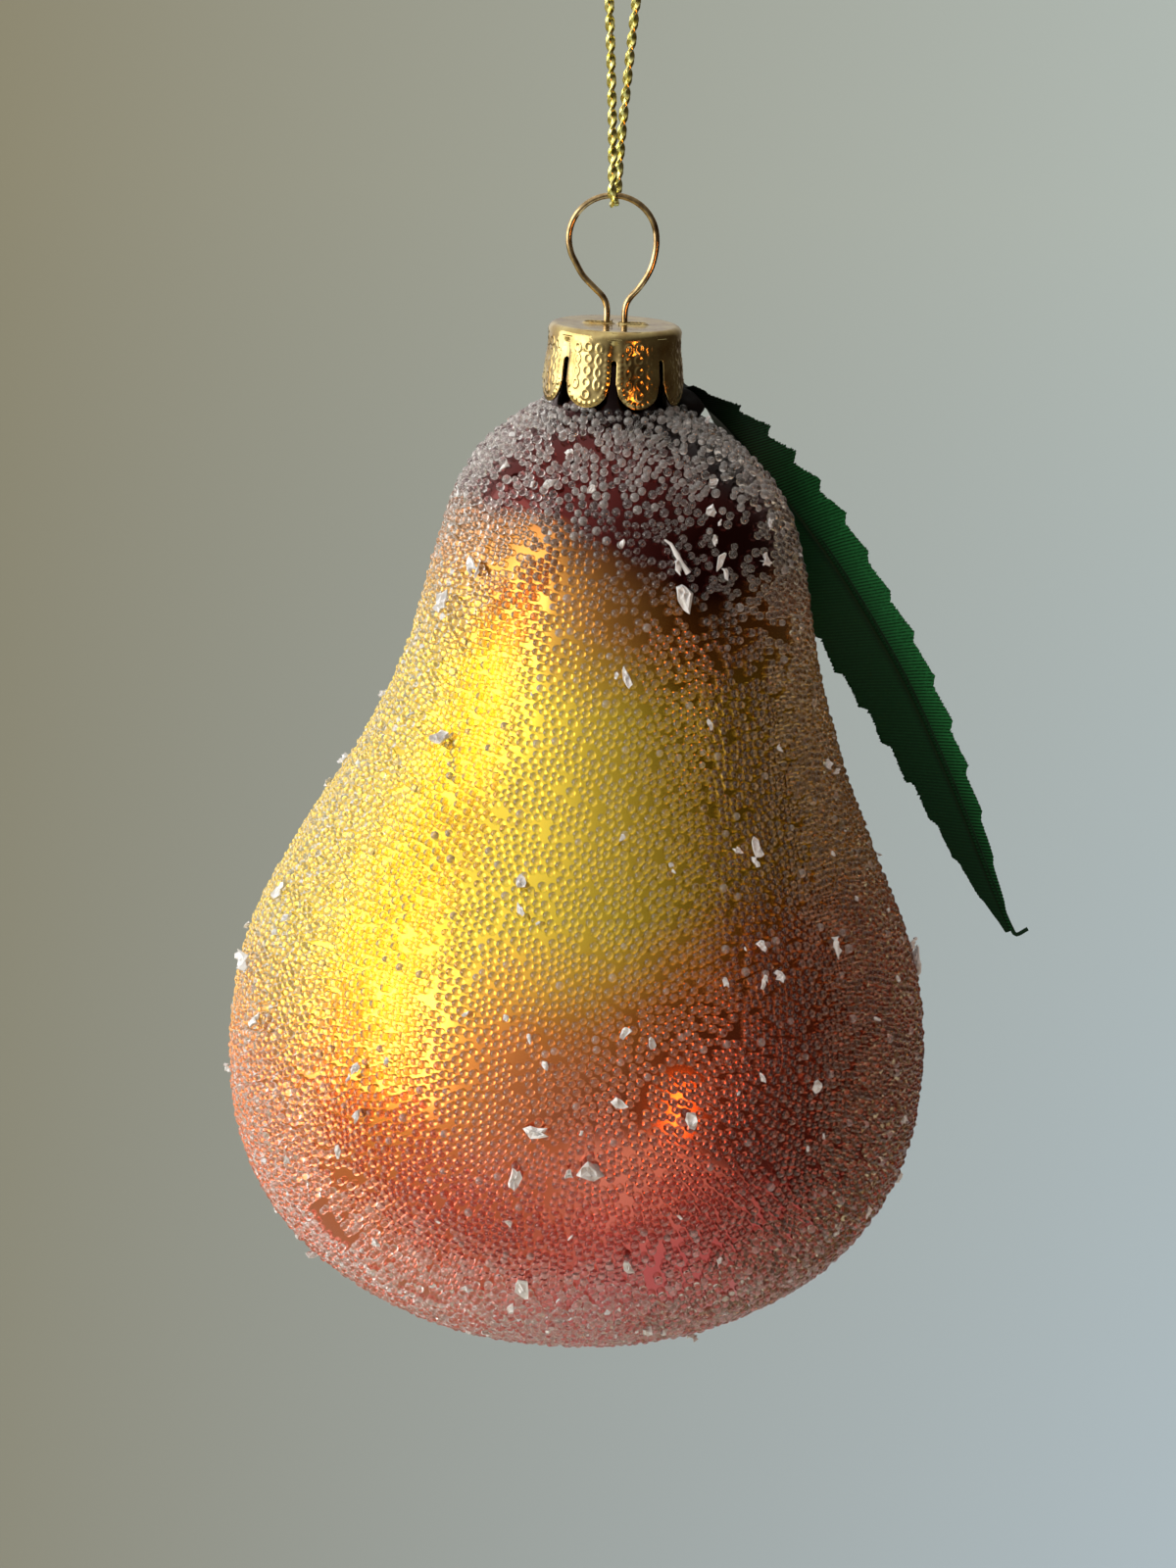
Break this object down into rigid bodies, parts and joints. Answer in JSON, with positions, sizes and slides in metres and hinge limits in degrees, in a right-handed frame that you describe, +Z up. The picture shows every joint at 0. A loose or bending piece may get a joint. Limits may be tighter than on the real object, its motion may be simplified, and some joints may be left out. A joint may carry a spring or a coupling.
{
  "type": "pear ornament",
  "caption": "Blown-glass pear hung by a gold cord from a wire eye in a petalled cap, with a coat of clear glass beads and a ribbed fabric leaf.",
  "frame": {"origin": "inside top of the cord's loop, where a hook or twig holds the ornament", "axes": "+Z up along the hanging ornament, +X right and +Y away from a person facing its front"},
  "size_m": [0.0811, 0.0728, 0.1635],
  "materials": {
    "gold_cord": "metallic gold braid, satin with bright glints",
    "gold_wire": "polished drawn wire, coppery gold",
    "gold_cap": "bright gold, stamped",
    "lacquered_glass": "silvered inside, lacquered maroon to yellow to red, mirror gloss",
    "clear_beads": "clear, glossy",
    "snow_flake": "frosted white, glinting",
    "leaf_fabric": "ribbed satin, dark green",
    "green_wire": "dull dark green",
    "dark_glue": "smooth, dark"
  },
  "bodies": {
    "cord": {"hanging_cord": "gold_cord", "cord_knot": "gold_cord"},
    "hanger": {"wire_hanger": "gold_wire"},
    "cap": {"cap": "gold_cap"},
    "pear": {"glass_pear": "lacquered_glass", "bead_coat": "clear_beads", "leaf_glue": "dark_glue", "snow_flake_01": "snow_flake", "snow_flake_02": "snow_flake", "snow_flake_03": "snow_flake", "snow_flake_04": "snow_flake", "snow_flake_05": "snow_flake", "snow_flake_06": "snow_flake", "snow_flake_07": "snow_flake", "snow_flake_08": "snow_flake", "snow_flake_09": "snow_flake", "snow_flake_10": "snow_flake", "snow_flake_11": "snow_flake", "snow_flake_12": "snow_flake", "snow_flake_13": "snow_flake", "snow_flake_14": "snow_flake", "snow_flake_15": "snow_flake", "snow_flake_16": "snow_flake", "snow_flake_17": "snow_flake", "snow_flake_18": "snow_flake", "snow_flake_19": "snow_flake", "snow_flake_20": "snow_flake", "snow_flake_21": "snow_flake", "snow_flake_22": "snow_flake", "snow_flake_23": "snow_flake", "snow_flake_24": "snow_flake", "snow_flake_25": "snow_flake", "snow_flake_26": "snow_flake"},
    "leaf": {"leaf_blade": "leaf_fabric", "leaf_wire": "green_wire"}
  },
  "joints": [
    {"name": "eye_swing", "type": "hinge", "parent": "cord", "child": "hanger", "pos_m": [0, 0, -0.034], "axis": [1, 0, 0], "range_deg": [-60, 60]},
    {"name": "hanger_push", "type": "slide", "parent": "hanger", "child": "cap", "axis": [0, 0, 1], "range_m": [0, 0.0016]},
    {"name": "cap_pull", "type": "slide", "parent": "cap", "child": "pear", "axis": [0, 0, -1], "range_m": [0, 0.012]},
    {"name": "leaf_lift", "type": "hinge", "parent": "pear", "child": "leaf", "pos_m": [0.0089, 0.0031, -0.0535], "axis": [0.3841, -0.9233, 0], "range_deg": [0, 50]}
  ]
}
